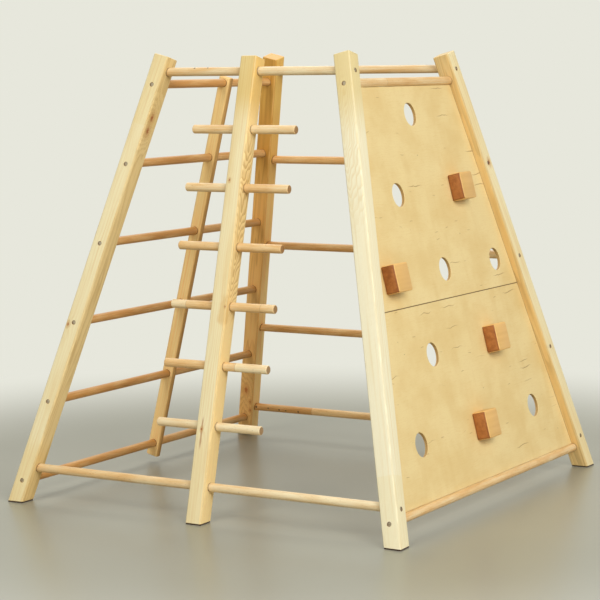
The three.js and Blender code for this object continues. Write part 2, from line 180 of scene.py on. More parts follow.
# Node trees.
class Value:
    """A number, place or colour in a node tree, which sums are written with."""

    def __init__(self, wiring, socket):
        self.wiring = wiring
        self.socket = socket

    def math(self, operation, *others):
        return self.wiring.math(operation, self, *others)

    def __add__(self, other):
        return self.math("ADD", other)

    def __sub__(self, other):
        return self.math("SUBTRACT", other)

    def __rsub__(self, other):
        return self.wiring.math("SUBTRACT", other, self)

    def __mul__(self, other):
        if self.socket.type == "VECTOR" and not isinstance(other, tuple):
            return self.wiring.value("ShaderNodeVectorMath", {0: self, "Scale": other}, operation="SCALE")
        return self.math("MULTIPLY", other)

    def __truediv__(self, other):
        return self.math("DIVIDE", other)

    def __abs__(self):
        return self.math("ABSOLUTE")

    __radd__ = __add__

    def length(self):
        return self.math("LENGTH")

    def dot(self, direction):
        return self.math("DOT_PRODUCT", tuple(direction))

    def split(self):
        outputs = self.wiring.node("ShaderNodeSeparateXYZ", {0: self}).outputs
        return [Value(self.wiring, output) for output in outputs]

    def ranged(self, ends, low, high, **settings):
        inputs = {"Value": self, ends + " Min": low, ends + " Max": high}
        return self.wiring.value("ShaderNodeMapRange", inputs, **settings)

    def ramp(self, low, high):
        """0 under low, 1 over high and a smooth step between."""
        return self.ranged("From", low, high, interpolation_type="SMOOTHSTEP")

    def fall(self, low, high):
        """1 under low, 0 over high and a smooth step between."""
        return 1.0 - self.ramp(low, high)

    def straight(self, low, high):
        """0 under low, 1 over high and a straight line between."""
        return self.ranged("From", low, high)

    def spread(self, low, high):
        """A 0 to 1 value laid out from low to high."""
        return self.ranged("To", low, high)

    def fade(self, width):
        """1 at 0, and fading to 0 over about two widths."""
        share = self / width
        return (share * share * -1.0).math("EXPONENT")


class Wiring:
    """A node tree whose nodes are made with their settings and inputs in one call."""

    def __init__(self, tree):
        self.tree = tree
        tree.nodes.clear()

    def feed(self, socket, value):
        if isinstance(value, Value):
            self.tree.links.new(value.socket, socket)
        else:
            socket.default_value = value

    def node(self, kind, inputs=None, **settings):
        made = self.tree.nodes.new(kind)
        for key, setting in settings.items():
            setattr(made, key, setting)
        for key, value in (inputs or {}).items():
            self.feed(made.inputs[key], value)
        return made

    def value(self, kind, inputs=None, output=0, **settings):
        """One output of a new node."""
        return Value(self, self.node(kind, inputs, **settings).outputs[output])

    def math(self, operation, *values):
        """A sum of numbers or of places, as the values are."""
        places = any(isinstance(value, Value) and value.socket.type == "VECTOR" for value in values)
        kind = "ShaderNodeVectorMath" if places else "ShaderNodeMath"
        output = "Value" if operation in ("LENGTH", "DOT_PRODUCT") else 0
        return self.value(kind, dict(enumerate(values)), output, operation=operation)

    def in_sight(self):
        """1 for what is seen straight, in a reflection or through something clear."""
        rays = self.node("ShaderNodeLightPath").outputs
        camera_ray, glossy_ray, clear_ray = (
            Value(self, rays["Is %s Ray" % kind]) for kind in ("Camera", "Glossy", "Transmission")
        )
        return camera_ray.math("MAXIMUM", glossy_ray).math("MAXIMUM", clear_ray)


class Finish(Wiring):
    """A material whose node tree is written as sums of places, noises and colours."""

    def __init__(self, name):
        self.material = bpy.data.materials.new(name)
        self.material.use_nodes = True
        super().__init__(self.material.node_tree)
        self.shader = self.node("ShaderNodeBsdfPrincipled")
        self.surface = Value(self, self.shader.outputs[0])
        self.output = self.node("ShaderNodeOutputMaterial", {"Surface": self.surface})

    def object_place(self):
        return self.value("ShaderNodeTexCoord", output="Object")

    def world(self):
        """Millimetres in the tower's frame."""
        return self.object_place() * (1 / MM)

    def grain_place(self, matrix):
        """Millimetres in a piece's own frame, Z along the grain."""
        inputs = {
            "Vector": self.object_place(),
            "Location": matrix.translation,
            "Rotation": matrix.to_euler(),
        }
        return self.value("ShaderNodeMapping", inputs, vector_type="TEXTURE") * (1 / MM)

    def away(self, point):
        """Millimetres from a point, which is given in metres of the tower's frame."""
        return (self.world() - tuple(point / MM)).length()

    def noise(self, place, steps, detail=2.0, roughness=0.5):
        """Noise whose patches are about as long as the steps along each axis."""
        inputs = {"Vector": place / steps, "Scale": 1.0, "Detail": detail, "Roughness": roughness}
        return self.value("ShaderNodeTexNoise", inputs)

    def scatter(self, place, share, size):
        """Spots in a share of the cells of a random grid; size: of a cell, at most 0.5."""
        cell = self.node("ShaderNodeTexVoronoi", {"Vector": place, "Scale": 1.0}).outputs
        chosen = Value(self, cell["Color"]).split()[0].math("GREATER_THAN", 1.0 - share)
        return chosen * Value(self, cell["Distance"]).fall(0.4 * size, size)

    def mix(self, share, first, second, blend="MIX"):
        inputs = {"Factor": share, 6: first, 7: second}
        return self.value("ShaderNodeMix", inputs, 2, data_type="RGBA", blend_type=blend)

    def toned(self, color, shares):
        """The colour times a share of each of its three parts."""
        return self.mix(1.0, color, (*shares, 1.0), "MULTIPLY")

    def steeled(self, mask, color, scene):
        """The colour with steel darkened as painted shade where a screw head is part of the piece, seen only
        in its recess.
        """
        self.feed(self.shader.inputs["Metallic"], mask)
        return self.mix(mask, color, shaded(scene.tower_fittings.steel, RECESS_SHADE_SHARE))

    def edges(self, place, halves, reach):
        """1 along the edges of a bar or block of these half sizes, and 0 from a reach inside them."""
        near = []
        for share, half in zip(place.split(), halves):
            near.append((abs(share) - half).ramp(-reach, -reach / 3))
        mask = near[0].math("MINIMUM", near[1])
        if len(near) == 3:
            mask = mask.math("MAXIMUM", near[1].math("MINIMUM", near[2]))
            mask = mask.math("MAXIMUM", near[0].math("MINIMUM", near[2]))
        return mask

    def beside(self, slabs, low, high):
        """1 close outside the faces of posts, fading from low to high millimetres."""
        mask = 0.0
        for direction, offset, half in slabs:
            outside = abs(self.world().dot(direction) - offset) - half
            mask = outside.fall(low, high).math("MAXIMUM", mask)
        return mask

    def facing(self, matrix, axis=2):
        """How squarely the surface faces along an axis of a piece's frame, 0 to 1."""
        direction = matrix.to_3x3().col[axis]
        return abs(self.value("ShaderNodeNewGeometry", output="True Normal").dot(direction))

    def finish(self, color, roughness, height=None, depth=0.0, specular=0.35):
        """Sets the surface; height: its relief, from 0 to 1; depth: of that, in millimetres."""
        self.feed(self.shader.inputs["Base Color"], color)
        self.feed(self.shader.inputs["Roughness"], roughness)
        self.shader.inputs["Specular IOR Level"].default_value = specular
        if height is not None:
            relief = {"Strength": 1.0, "Distance": depth * MM, "Height": height}
            self.feed(self.shader.inputs["Normal"], self.value("ShaderNodeBump", relief))
        return self.material


def srgb(red, green, blue):
    """A colour given as it looks, from 0 to 255, as Blender's linear values."""

    def linear(value):
        share = value / 255
        return share / 12.92 if share <= 0.04045 else ((share + 0.055) / 1.055) ** 2.4

    return (linear(red), linear(green), linear(blue), 1.0)


def shaded(color, share):
    return (color[0] * share, color[1] * share, color[2] * share, 1.0)


def colors_of(scene, kind, *parts):
    return [getattr(scene.tower_woods, kind + "_" + part) for part in parts]


# Sawn softwood: growth rings round a pith, fibres, broad tone and knots that the grain bends round.
class Board:
    """How one board was cut, in millimetres of its own frame.

    pith: where the tree's middle lay; figure: how strongly the rings show; tone: brightness;
    warm_side: (x, y, start, share, tone) of the side towards which the wood turns warm as heartwood, its tone
    being painted light and shade for how much light that side gets;
    arched: (x, y, start, middle, low, high) of a side that is cut so flat that its rings run out in
    nested arches, the arches' place across it and the heights between which they show;
    knots: (x, y, z, size);
    joints: (z, red, green and blue share of the length above, length of the change), where a change
    under zero takes the length below; streaks: (x, y, low, high, width, share of brown);
    wood: pine, cream or warm, as its colours are named.
    """

    wood = "pine"
    halves = POST_HALVES
    tone = 1.0
    warm_side = None
    arched = None
    knots = ()
    joints = ()
    streaks = ()

    def __init__(self, pith, seed, figure, **marks):
        self.pith = pith
        self.seed = seed
        self.figure = figure
        vars(self).update(marks)


# Growth rings: how fast they run out of a board, and how far fibres bend and ripple, in millimetres.
RING_SLANT = 0.014
RING_BEND = 20
RING_RIPPLE = 2.4
RING_CROWDING = 5

# Arches: how far their middle wanders, how blunt they are, their steepness across and along the
# board, their share of the bend, their unevenness and the length over which they fade.
ARCH_WANDER = 30
ARCH_BLUNTNESS = 30.0
ARCH_ACROSS = 0.62
ARCH_ALONG = -0.3
ARCH_BEND_SHARE = 1.6
ARCH_UNEVENNESS = 11
ARCH_FADE = 60

# How much of a flat-cut side's rings is held back, away from the arches and among them.
ARCH_HELD_BACK = (0.85, -0.5)

# Wear along the edges, with painted shade on the posts' edges and a painted highlight on the blocks' long
# grain, and the dark ring of painted shade round a screw head, in millimetres.
POST_EDGE_REACH = 4.0
BLOCK_EDGE_REACH = 6.0
SCREW_SHADE = (5.1, 6.8)


def arched_side(f, arched, place, moved, bend, radius):
    """The rings' radius with arches on one side, and how strongly rings show."""
    x, y, start, arch_middle, low, high = arched
    along_grain = place.split()[2]
    middle_line = (arch_middle - ARCH_WANDER, arch_middle + ARCH_WANDER)
    off_middle = place.dot((-y, x, 0.0)) - f.noise(moved, (900, 900, 260), 1.0).spread(*middle_line)
    flank = (off_middle * off_middle + ARCH_BLUNTNESS).math("SQRT")
    uneven = f.noise(moved, (300, 300, 55)).spread(-ARCH_UNEVENNESS, ARCH_UNEVENNESS)
    arches = flank * ARCH_ACROSS + along_grain * ARCH_ALONG + bend * ARCH_BEND_SHARE
    on_side = place.dot((x, y, 0.0)).math("GREATER_THAN", start)
    radius = on_side * (arches + uneven) + (1.0 - on_side) * radius
    shown = along_grain.ramp(low - ARCH_FADE, low + ARCH_FADE)
    shown = shown * along_grain.fall(high - ARCH_FADE, high + ARCH_FADE)
    return radius, 1.0 - on_side * shown.spread(*ARCH_HELD_BACK)


def knotted(f, knots, place, moved, radius):
    """The rings' radius bent round knots, and masks of the knots and of what lies round them."""
    cores = rims = 0.0
    for x, y, z, size in knots:
        rough = f.noise(moved, (2.2, 2.2, 4.5)).spread(-0.7 * size, 0.7 * size)
        distance = ((place - (x, y, z)) * (1, 1, 0.6)).length() + rough
        radius = radius + distance.fade(3.2 * size) * (2.4 * size)
        cores = distance.fall(0.3 * size, 0.8 * size).math("MAXIMUM", cores)
        rims = distance.fall(0.9 * size, 2.0 * size).math("MAXIMUM", rims)
    return radius, cores, rims


def softwood(node, scene):
    """Sawn pine, with its growth rings, fibres, knots, glued lengths, and worn edges darkened in part as
    painted shade.
    """
    board = BOARDS[node]
    early, late, warm = colors_of(scene, board.wood, "early", "late", "patch")
    knot_color = scene.tower_woods.pine_knot
    spacing = scene.tower_woods.ring_spacing / MM
    matrix = board_frame(node)
    f = Finish("Pine of " + node)
    place = f.grain_place(matrix)
    moved = place + (board.seed * 37.0, board.seed * 53.0, board.seed * 911.0)
    along_grain = place.split()[2]

    bend = f.noise(moved, (70, 70, 460)).spread(-RING_BEND, RING_BEND)
    ripple = f.noise(moved, (10, 10, 110)).spread(-RING_RIPPLE, RING_RIPPLE)
    from_pith = (place - (*board.pith, 0)) * (1, 1, 0)
    radius = from_pith.length() + bend + ripple + along_grain * RING_SLANT
    ring_share = 1.0
    if board.arched is not None:
        radius, ring_share = arched_side(f, board.arched, place, moved, bend, radius)
    radius, knot_core, knot_rim = knotted(f, board.knots, place, moved, radius)

    crowd = f.noise(moved * (1, 1, 0), (14, 14, 1), 1.0).spread(-RING_CROWDING, RING_CROWDING)
    phase = ((radius + crowd) / spacing).math("FRACT")
    strength = f.noise(moved, (30, 30, 230), 1.0).spread(0.2, 1.2)
    ring = phase.ramp(0.2, 0.84) * phase.fall(0.86, 1.0) * (strength * ring_share)
    fibre = f.noise(moved, (0.9, 0.9, 46), 3.0, 0.6)
    streak = f.noise(moved, (6, 6, 260), 2.0, 0.55)
    broad = f.noise(moved, (52, 52, 240), 1.0)

    color = f.mix((ring * board.figure).math("MINIMUM", 0.9), early, late)
    color = f.mix(broad.ramp(0.4, 0.7) * 0.6, color, warm)
    color = f.mix(streak.ramp(0.5, 0.74) * 0.34, color, late)
    color = f.mix(fibre.ramp(0.48, 0.8) * 0.24, color, late)
    # A warmer heartwood side, whose tone, above or under 1, is painted light and shade for that side.
    if board.warm_side is not None:
        x, y, start, share, side_painted_light = board.warm_side
        towards = place.dot((x, y, 0.0)) + ripple * 0.6
        base = f.mix(share, shaded(warm, side_painted_light), shaded(late, side_painted_light))
        lines = (ring * (3.2 * board.figure)).math("MINIMUM", 1.0)
        deep = f.mix(lines, base, shaded(late, 0.76 * side_painted_light))
        deep = f.mix(streak.ramp(0.4, 0.7) * 0.4, deep, warm)
        color = f.mix(towards.ramp(start - 2.0, start + 2.0) * 0.9, color, deep)
    for height, shares, change in board.joints:
        step = along_grain.ramp(height - change / 2, height + change / 2)
        color = f.mix(step, color, f.toned(color, shares))
    for x, y, low, high, width, brown in board.streaks:
        wander = f.noise(moved, (400, 400, 26), 1.0).spread(-0.8 * width, 0.8 * width)
        near = (((place - (x, y, 0)) * (1, 1, 0)).length() + wander).fall(0.25 * width, width)
        taper = (high - low) / 4
        ends = along_grain.ramp(low, low + taper) * along_grain.fall(high - taper, high)
        color = f.mix(near * ends * 0.6, color, f.mix(brown, late, knot_color))
    if board.knots:
        color = f.mix(knot_rim * 0.5, color, f.mix(0.35, late, knot_color))
        color = f.mix(knot_core * 0.85, color, knot_color)

    # The edges are darkened: partly wear, and partly painted shade that holds back the extra light the
    # rounded edges catch.
    edge_wear_and_painted_light = f.edges(place, board.halves, POST_EDGE_REACH) * f.noise(moved, (9, 9, 40), 3.0).ramp(0.3, 0.6)
    color = f.mix(edge_wear_and_painted_light * 0.7, color, shaded(warm, 0.82))
    # A dark ring of painted shade round each screw head, as in its countersink.
    for screw in screw_places(node):
        color = f.mix(f.away(screw).fall(*SCREW_SHADE) * 0.85, color, shaded(knot_color, 0.35))
    color = f.mix(f.facing(matrix).ramp(0.7, 0.9) * 0.6, color, late)
    color = f.toned(color, [board.tone] * 3)

    roughness = (fibre * 0.5 + edge_wear_and_painted_light * -0.2).spread(0.46, 0.62)
    height = fibre * 0.5 + ring * 0.4
    return f.finish(color, roughness, height, depth=0.16, specular=0.28)


# Turned rods.
class Rod:
    """How one rung or peg was turned, in millimetres along it from the tower's middle.

    lengths: (start, warmth) of each glued length, the first from its low end; warmth runs from 0, cream,
    to 1, brown; soft: length over which one tone turns into the next; knots: (place, height over the
    axis, size).
    """

    def __init__(self, *lengths, tone=1.0, soft=0.0, knots=()):
        self.lengths = lengths
        self.tone = tone
        self.soft = soft
        self.knots = knots


# Glue joints and growth bands of the rods, and the painted shade beside a post where a rod meets it, in
# millimetres.
GLUE_WIDTH = 0.7
JOINT_BLUR = 0.6
ROD_BAND = 5.2
ROD_BAND_WAVE = 6
ROD_SHADE = (1.5, 5.0)


def dowel_wood(node, seed, scene):
    """Turned beech, with a steel rim where a back or left rung ends in its screw head."""
    cream, tan, brown, dark = colors_of(scene, "dowel", "cream", "tan", "brown", "dark")
    side = node.split("_")[0]
    rod = RODS.get(node) or SIDE_RODS[side]
    matrix = bar_frame(node)
    f = Finish("Beech of " + node)
    place = f.grain_place(matrix)
    moved = place + (seed * 31.0, seed * 17.0, seed * 733.0)
    at = place.split()[2]

    warmth = rod.lengths[0][1]
    glue = 0.0
    blur = JOINT_BLUR + rod.soft / 2
    for start, share in rod.lengths[1:]:
        step = at.ramp(start - blur, start + blur)
        warmth = step * share + (1.0 - step) * warmth
        if not rod.soft:
            glue = (at - start).fade(GLUE_WIDTH).math("MAXIMUM", glue)

    wave = f.noise(moved, (24, 24, 210)).spread(-ROD_BAND_WAVE, ROD_BAND_WAVE)
    across_bands = moved.dot((math.cos(seed * 2.1), math.sin(seed * 2.1), 0.0))
    phase = ((across_bands + wave) / ROD_BAND).math("FRACT")
    band = phase.ramp(0.1, 0.8) * phase.fall(0.82, 1.0)
    fibre = f.noise(moved, (0.7, 0.7, 30), 3.0, 0.6)
    broad = f.noise(moved, (14, 14, 90))
    pore = f.noise(moved, (1.2, 1.2, 8), 1.0).ramp(0.67, 0.75)

    warmth = warmth + broad.spread(-0.5, 0.5) + band * 0.14 + fibre.spread(-0.2, 0.2)
    color = f.mix(warmth.straight(0.0, 0.5), cream, tan)
    color = f.mix(warmth.straight(0.5, 1.0), color, brown)
    color = f.mix(pore * 0.35, color, dark)
    color = f.mix(glue * 0.35, color, dark)
    for length, above, size in rod.knots:
        spot = f.away(spot_place(node, length, above)).fall(0.5 * size, size)
        color = f.mix(spot * 0.9, color, shaded(dark, 0.16))
    slabs = slabs_of(MET[side], runs_across(node))
    # A dark band of painted shade on the rod just outside each post it meets.
    color = f.mix(f.beside(slabs, *ROD_SHADE) * 0.55, color, shaded(dark, 0.4))
    color = f.mix(f.facing(matrix).ramp(0.75, 0.95) * 0.7, color, dark)
    color = f.toned(color, [rod.tone] * 3)
    # The screw head that is part of a back or left rung is dark steel: painted shade in its recess.
    if side in ("back", "left"):
        way = -1 if side == "back" else 1
        start = way * line_half(middle(node).z) / MM
        color = f.steeled(((at - start) * way).ramp(-0.1, 0.1), color, scene)
    return f.finish(color, fibre.spread(0.36, 0.52), fibre + pore * -0.6, depth=0.08, specular=0.4)


def spot_place(node, at, above):
    """A place on a rod's side that faces forward or right; at and above: in millimetres."""
    low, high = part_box(node)
    centre = (low + high) / 2
    radius = (high.z - low.z) / 2
    above *= MM
    side = math.sqrt(radius**2 - above**2)
    if runs_across(node):
        return Vector((at * MM, centre.y - side, centre.z + above))
    return Vector((centre.x + side, at * MM, centre.z + above))


# The plywood: its plies, the deeper tone round the holds, and the painted shade beside the posts and along
# the seam.
PLIES = 7
HANDLED_REACH = 62.0
PANEL_SHADE = (1.0, 3.2)
SEAM_SHADE = (0.9, 1.5)


def plywood(node, seed, scene):
    """Rotary-cut birch veneer lying level, with small bark marks, and its plies on every cut edge."""
    pale, deep, dark, glue = colors_of(scene, "ply", "pale", "deep", "dark", "glue")
    thickness = scene.tower_woods.ply_thickness / MM
    matrix = wall_frame()
    f = Finish("Birch plywood of " + node)
    place = f.grain_place(matrix)
    moved = place + (seed * 631.0, seed * 377.0, 0.0)
    _, up, outward = place.split()

    drift = f.noise(moved, (46, 60, 300)).spread(-8, 8)
    bent = moved + f.value("ShaderNodeCombineXYZ", {1: drift})
    cloud = f.noise(moved, (150, 110, 300), 3.0, 0.55)
    patch = f.noise(moved, (60, 200, 300))
    grain = f.noise(bent, (60, 2.8, 30), 3.0, 0.66)
    fibre = f.noise(moved, (16, 0.8, 8), 3.0, 0.62)
    mottle = f.noise(moved, (10, 5, 20), 3.0, 0.6)
    dash = f.scatter(bent / (120, 3.4, 1000), 0.017, 0.4)
    arc = f.scatter(bent / (30, 3.6, 1000), 0.011, 0.4)
    dot = f.scatter(moved / (9, 8, 1000), 0.004, 0.24)

    color = f.mix(cloud.ramp(0.35, 0.7) * 0.55, pale, deep)
    color = f.mix(patch.ramp(0.5, 0.75) * 0.3, color, deep)
    color = f.mix(grain.ramp(0.46, 0.76) * 0.3, color, deep)
    color = f.mix(mottle.ramp(0.5, 0.75) * 0.25, color, deep)
    color = f.mix(fibre.ramp(0.55, 0.85) * 0.15, color, deep)
    color = f.mix(dash * 0.75, color, dark)
    color = f.mix(arc * 0.45, color, dark)
    color = f.mix(dot * 0.85, color, shaded(dark, 0.5))
    for block in HOLD_TONES:
        handled = f.away(middle(block)).fade(HANDLED_REACH) * cloud.ramp(0.2, 0.7)
        color = f.mix(handled * 0.4, color, deep)

    ply = (outward / (2 * thickness / PLIES)).math("FRACT")
    edge_color = f.mix(ply.ramp(0.46, 0.54), deep, glue)
    color = f.mix(f.facing(matrix).fall(0.35, 0.6), color, edge_color)
    # Painted shade along the panel beside the posts, where it meets them.
    slabs = slabs_of(MET["right"], False)
    color = f.mix(f.beside(slabs, *PANEL_SHADE) * 0.5, color, shaded(dark, 0.7))
    # Painted shade along the seam between the two panels.
    seam = seam_height() / MM + SEAM_GAP / 2
    color = f.mix(abs(up - seam).fall(*SEAM_SHADE) * 0.85, color, shaded(dark, 0.4))
    # The pan heads that are part of the panel are dark steel: painted shade in their recess.
    color = f.steeled(outward.fall(-thickness - 0.1, -thickness - 0.05), color, scene)
    height = fibre * 0.4 + grain * 0.5 + dash * -1.0
    return f.finish(color, grain.spread(0.42, 0.56), height, depth=0.12)


def seam_shade_wood(name, matrix, color):
    """A dark strip deep in the seam, painted shade standing in for the gap, with level fibres and lighter
    patches.
    """
    f = Finish(name)
    place = f.grain_place(matrix)
    fibre = f.noise(place, (24, 0.6, 0.6), 3.0, 0.6)
    lighter_patch = f.noise(place, (30, 4, 4))
    tone = f.mix(fibre.ramp(0.35, 0.7), color, shaded(color, 1.5))
    tone = f.mix(lighter_patch.ramp(0.45, 0.7) * 0.3, tone, shaded(color, 2.2))
    return f.finish(tone, fibre.spread(0.6, 0.8), fibre, depth=0.1, specular=0.2)


def oiled_block(node, seed, scene):
    """Hardwood with its end grain, dark with oil, on the two sides that face along the wall."""
    pale, deep, end_pale, end_dark = colors_of(scene, "block", "pale", "deep", "end", "dark")
    matrix = wall_frame(middle(node))
    f = Finish("Oiled wood of " + node)
    place = f.grain_place(matrix)
    moved = place + (seed * 91.0, seed * 57.0, seed * 23.0)

    fibre = f.noise(moved, (30, 1.1, 1.1), 3.0, 0.6)
    band = f.noise(moved, (190, 11, 11))
    color = f.mix(band.ramp(0.3, 0.75) * 0.45, pale, deep)
    color = f.mix(fibre.ramp(0.5, 0.85) * 0.15, color, deep)

    speckle = f.noise(moved, (3.0, 1.6, 1.6), 3.0, 0.7)
    blotch = f.noise(moved, (14, 14, 14))
    end = f.mix(blotch.ramp(0.3, 0.75), end_pale, end_dark)
    end = f.mix(speckle.ramp(0.4, 0.75) * 0.6, end, end_dark)
    side = f.facing(matrix, 0).ramp(0.55, 0.8)
    color = f.mix(side, color, end)
    # Edges: paler on the long grain as a painted highlight, and darker on the end grain.
    edge_wear_and_painted_light = f.edges(place, HOLD_HALVES, BLOCK_EDGE_REACH)
    color = f.mix(edge_wear_and_painted_light * (1.0 - side) * 0.5, color, shaded(pale, 1.1))
    color = f.mix(edge_wear_and_painted_light * side * 0.5, color, shaded(end_dark, 0.7))
    color = f.toned(color, [HOLD_TONES[node]] * 3)
    return f.finish(color, speckle.spread(0.36, 0.52), fibre + speckle * 0.5, depth=0.12, specular=0.45)


def zinc(name, color):
    f = Finish(name)
    grey = f.noise(f.world(), (1.1, 1.1, 1.1), 3.0, 0.6)
    scratch = f.noise(f.world(), (0.25, 2.4, 0.25))
    tone = f.mix(grey.ramp(0.35, 0.75), color, shaded(color, 0.75))
    f.shader.inputs["Metallic"].default_value = 1.0
    return f.finish(tone, scratch.spread(0.28, 0.5), grey + scratch, depth=0.03, specular=0.5)


def felt(name, color):
    f = Finish(name)
    hair = f.noise(f.world(), (0.5, 0.5, 0.5), 4.0, 0.7)
    tuft = f.noise(f.world(), (3, 3, 3))
    tone = f.mix(hair.ramp(0.35, 0.7), shaded(color, 0.6), shaded(color, 1.6))
    tone = f.mix(tuft.ramp(0.4, 0.7) * 0.4, tone, shaded(color, 2.2))
    f.shader.inputs["Sheen Weight"].default_value = 0.4
    return f.finish(tone, hair.spread(0.85, 1.0), hair, depth=0.4, specular=0.1)


def wear(node, material, degrees=None):
    """Gives a node its finish, and rounds the shading of facets that turn by less than the angle."""
    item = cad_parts[node]
    item.material_slots[0].material = material
    if degrees is not None:
        item.modifiers.new("Eased facets", "NODES").node_group = eased_facets(degrees)


def eased_facets(degrees):
    name = "Eased facets %d" % degrees
    if name in bpy.data.node_groups:
        return bpy.data.node_groups[name]
    group = bpy.data.node_groups.new(name, "GeometryNodeTree")
    group.is_modifier = True
    for way in ("INPUT", "OUTPUT"):
        group.interface.new_socket("Geometry", in_out=way, socket_type="NodeSocketGeometry")
    g = Wiring(group)
    shape = g.value("NodeGroupInput")
    shape = g.value("GeometryNodeRemoveAttribute", {0: shape, "Name": "custom_normal"})
    shape = g.value("GeometryNodeMergeByDistance", {0: shape, "Distance": FACET_WELD * MM})
    shape = g.value("GeometryNodeSetShadeSmooth", {0: shape}, domain="FACE")
    turn = g.value("GeometryNodeInputMeshEdgeAngle", output="Unsigned Angle")
    limits = {"A": turn, "B": math.radians(degrees)}
    sharp = g.value("FunctionNodeCompare", limits, data_type="FLOAT", operation="GREATER_THAN")
    inputs = {0: shape, "Selection": sharp, "Shade Smooth": False}
    shape = g.value("GeometryNodeSetShadeSmooth", inputs, domain="EDGE")
    g.node("NodeGroupOutput", {0: shape})
    return group


def mesh_of(name, body):
    """The mesh of a finished bmesh."""
    mesh = bpy.data.meshes.new(name)
    body.to_mesh(mesh)
    body.free()
    return mesh


def placed(name, data):
    """A new object in the scene."""
    item = bpy.data.objects.new(name, data)
    bpy.context.scene.collection.objects.link(item)
    return item


# Countersunk screws with a cross recess, drawn head up at the origin. Lengths are in millimetres.
SCREW_LENGTH = 70
SCREW_POINT = 4
POINT_RADIUS = 0.4
HEAD_BEVEL = 0.25
HEAD_BEVEL_HEIGHT = 0.15

# The cross: its slimness and depth, and its reach at the floor and just under the rim.
RECESS_SLIMNESS = 0.42
RECESS_DEPTH = 1.5
RECESS_FLOOR_SHARE = 0.55
RECESS_WALL_SHARE = 0.95
RECESS_RIM = 0.1

# Thin faces over heads that are part of a rung: edge, thickness, lift and the cup under the cross.
FACE_EDGE = 0.03
FACE_THICKNESS = 0.05
FACE_LIFT = 0.06
FACE_CUP_DEPTH = 1.7
FACE_CUP_SHARES = (1.04, 1.03)

# Pan heads: share of the radius and height of each step down the side, and the dome's height.
PAN_RECESS_DEPTH = 0.35
PAN_STEPS = ((0.6, 0), (0.88, -0.25), (1, -0.8), (1, -3.0))
PAN_LIFT = 3.1


def cross_radius(angle, arm, half_width):
    """How far the outline of a cross lies from its middle, in one direction."""
    quarter = math.pi / 2
    turned = abs((angle + quarter / 2) % quarter - quarter / 2)
    return min(arm / math.cos(turned), half_width / math.sin(turned) if turned > 0 else arm)


def recess_angles(arm, half_width):
    corner = math.atan2(half_width, arm)
    steps = [0, corner, (corner + math.pi / 4) / 2, math.pi / 4]
    steps += [math.pi / 2 - step for step in reversed(steps[1:3])]
    return [quarter * math.pi / 2 + step for quarter in range(4) for step in steps]


def screw_mesh(name, arm, depth, sides):
    """A closed turned body with a cross recess; sides: (radius, height) of each ring down its outside."""
    half_width = RECESS_SLIMNESS * arm
    rings = [(0, -depth * MM, RECESS_FLOOR_SHARE), (0, -RECESS_RIM * MM, RECESS_WALL_SHARE), (0, 0, 1.0)]
    rings += [(radius, height, 0) for radius, height in sides]
    angles = recess_angles(arm, half_width)
    body = bmesh.new()
    loops = []
    for radius, height, cross in rings:
        loop = []
        for angle in angles:
            reach = cross * cross_radius(angle, arm, half_width) + (1 - cross) * radius
            loop.append(body.verts.new((reach * math.cos(angle), reach * math.sin(angle), height)))
        loops.append(loop)
    for upper, lower in zip(loops, loops[1:]):
        for i in range(len(angles)):
            j = (i + 1) % len(angles)
            body.faces.new((upper[i], lower[i], lower[j], upper[j]))
    body.faces.new(loops[0])
    body.faces.new(list(reversed(loops[-1])))
    bmesh.ops.recalc_face_normals(body, faces=body.faces)
    return mesh_of(name, body)


def screw_object(name, mesh, matrix, material):
    item = placed(name, mesh.copy())
    item.data.transform(matrix)
    item.data.materials.append(material)
    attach(item, BODY)
    return item


def whole_screws(sizes, material):
    """Screws that stand for the plain ones of the rung ends."""
    head = sizes.head_width / 2
    shank = sizes.shank_width / 2
    sides = [
        (head - HEAD_BEVEL * MM, 0),
        (head, -HEAD_BEVEL_HEIGHT * MM),
        (shank, shank - head),
        (shank, (SCREW_POINT - SCREW_LENGTH) * MM),
        (POINT_RADIUS * MM, -SCREW_LENGTH * MM),
    ]
    mesh = screw_mesh("Screw", sizes.recess_arm, RECESS_DEPTH, sides)
    for node in nodes_named("screw_"):
        outward = SIDES[node.split("_")[-2]]
        item = screw_object("dressed_" + node, mesh, along(box_end(node, outward), outward), material)
        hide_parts(node)


def rung_faces(sizes, material):
    """Thin crossed faces over the screw heads that are part of the back and left rungs."""
    head = sizes.head_width / 2
    arm = sizes.recess_arm
    rim_share, cup_share = FACE_CUP_SHARES
    sides = [
        (head - HEAD_BEVEL * MM, 0),
        (head, -FACE_EDGE * MM),
        (head, -FACE_THICKNESS * MM),
        (rim_share * arm, -FACE_THICKNESS * MM),
        (cup_share * arm, -FACE_CUP_DEPTH * MM),
    ]
    mesh = screw_mesh("Screw face", arm, RECESS_DEPTH, sides)
    for side, outward in (("back", SIDES["left"]), ("left", SIDES["back"])):
        for node in nodes_named(side + "_rung_"):
            place = box_end(node, outward) + FACE_LIFT * MM * outward
            screw_object("screw_face_" + node, mesh, along(place, outward), material)


def hold_heads(sizes, material, thickness):
    """Domed heads over the screws that hold the blocks from behind."""
    head = sizes.pan_width / 2
    sides = [(share * head, height * MM) for share, height in PAN_STEPS]
    mesh = screw_mesh("Pan head", sizes.recess_arm, PAN_RECESS_DEPTH, sides)
    _, up_slope, outward = wall_axes()
    face = -(thickness + PAN_LIFT * MM)
    for node in HOLD_TONES:
        foot = middle(node) - (HOLD_HALVES[2] * MM) * outward
        for number, way in ((1, -1), (2, 1)):
            place = foot + way * HOLD_SCREW_REACH * MM * up_slope + face * outward
            screw_object("pan_head_%s_%d" % (node, number), mesh, along(place, -outward), material)


# The sizes and colours that someone would change.
def color_property(name, red, green, blue):
    return bpy.props.FloatVectorProperty(
        name=name,
        description=name + " of the finish",
        subtype="COLOR",
        size=4,
        min=0.0,
        max=1.0,
        default=srgb(red, green, blue),
    )


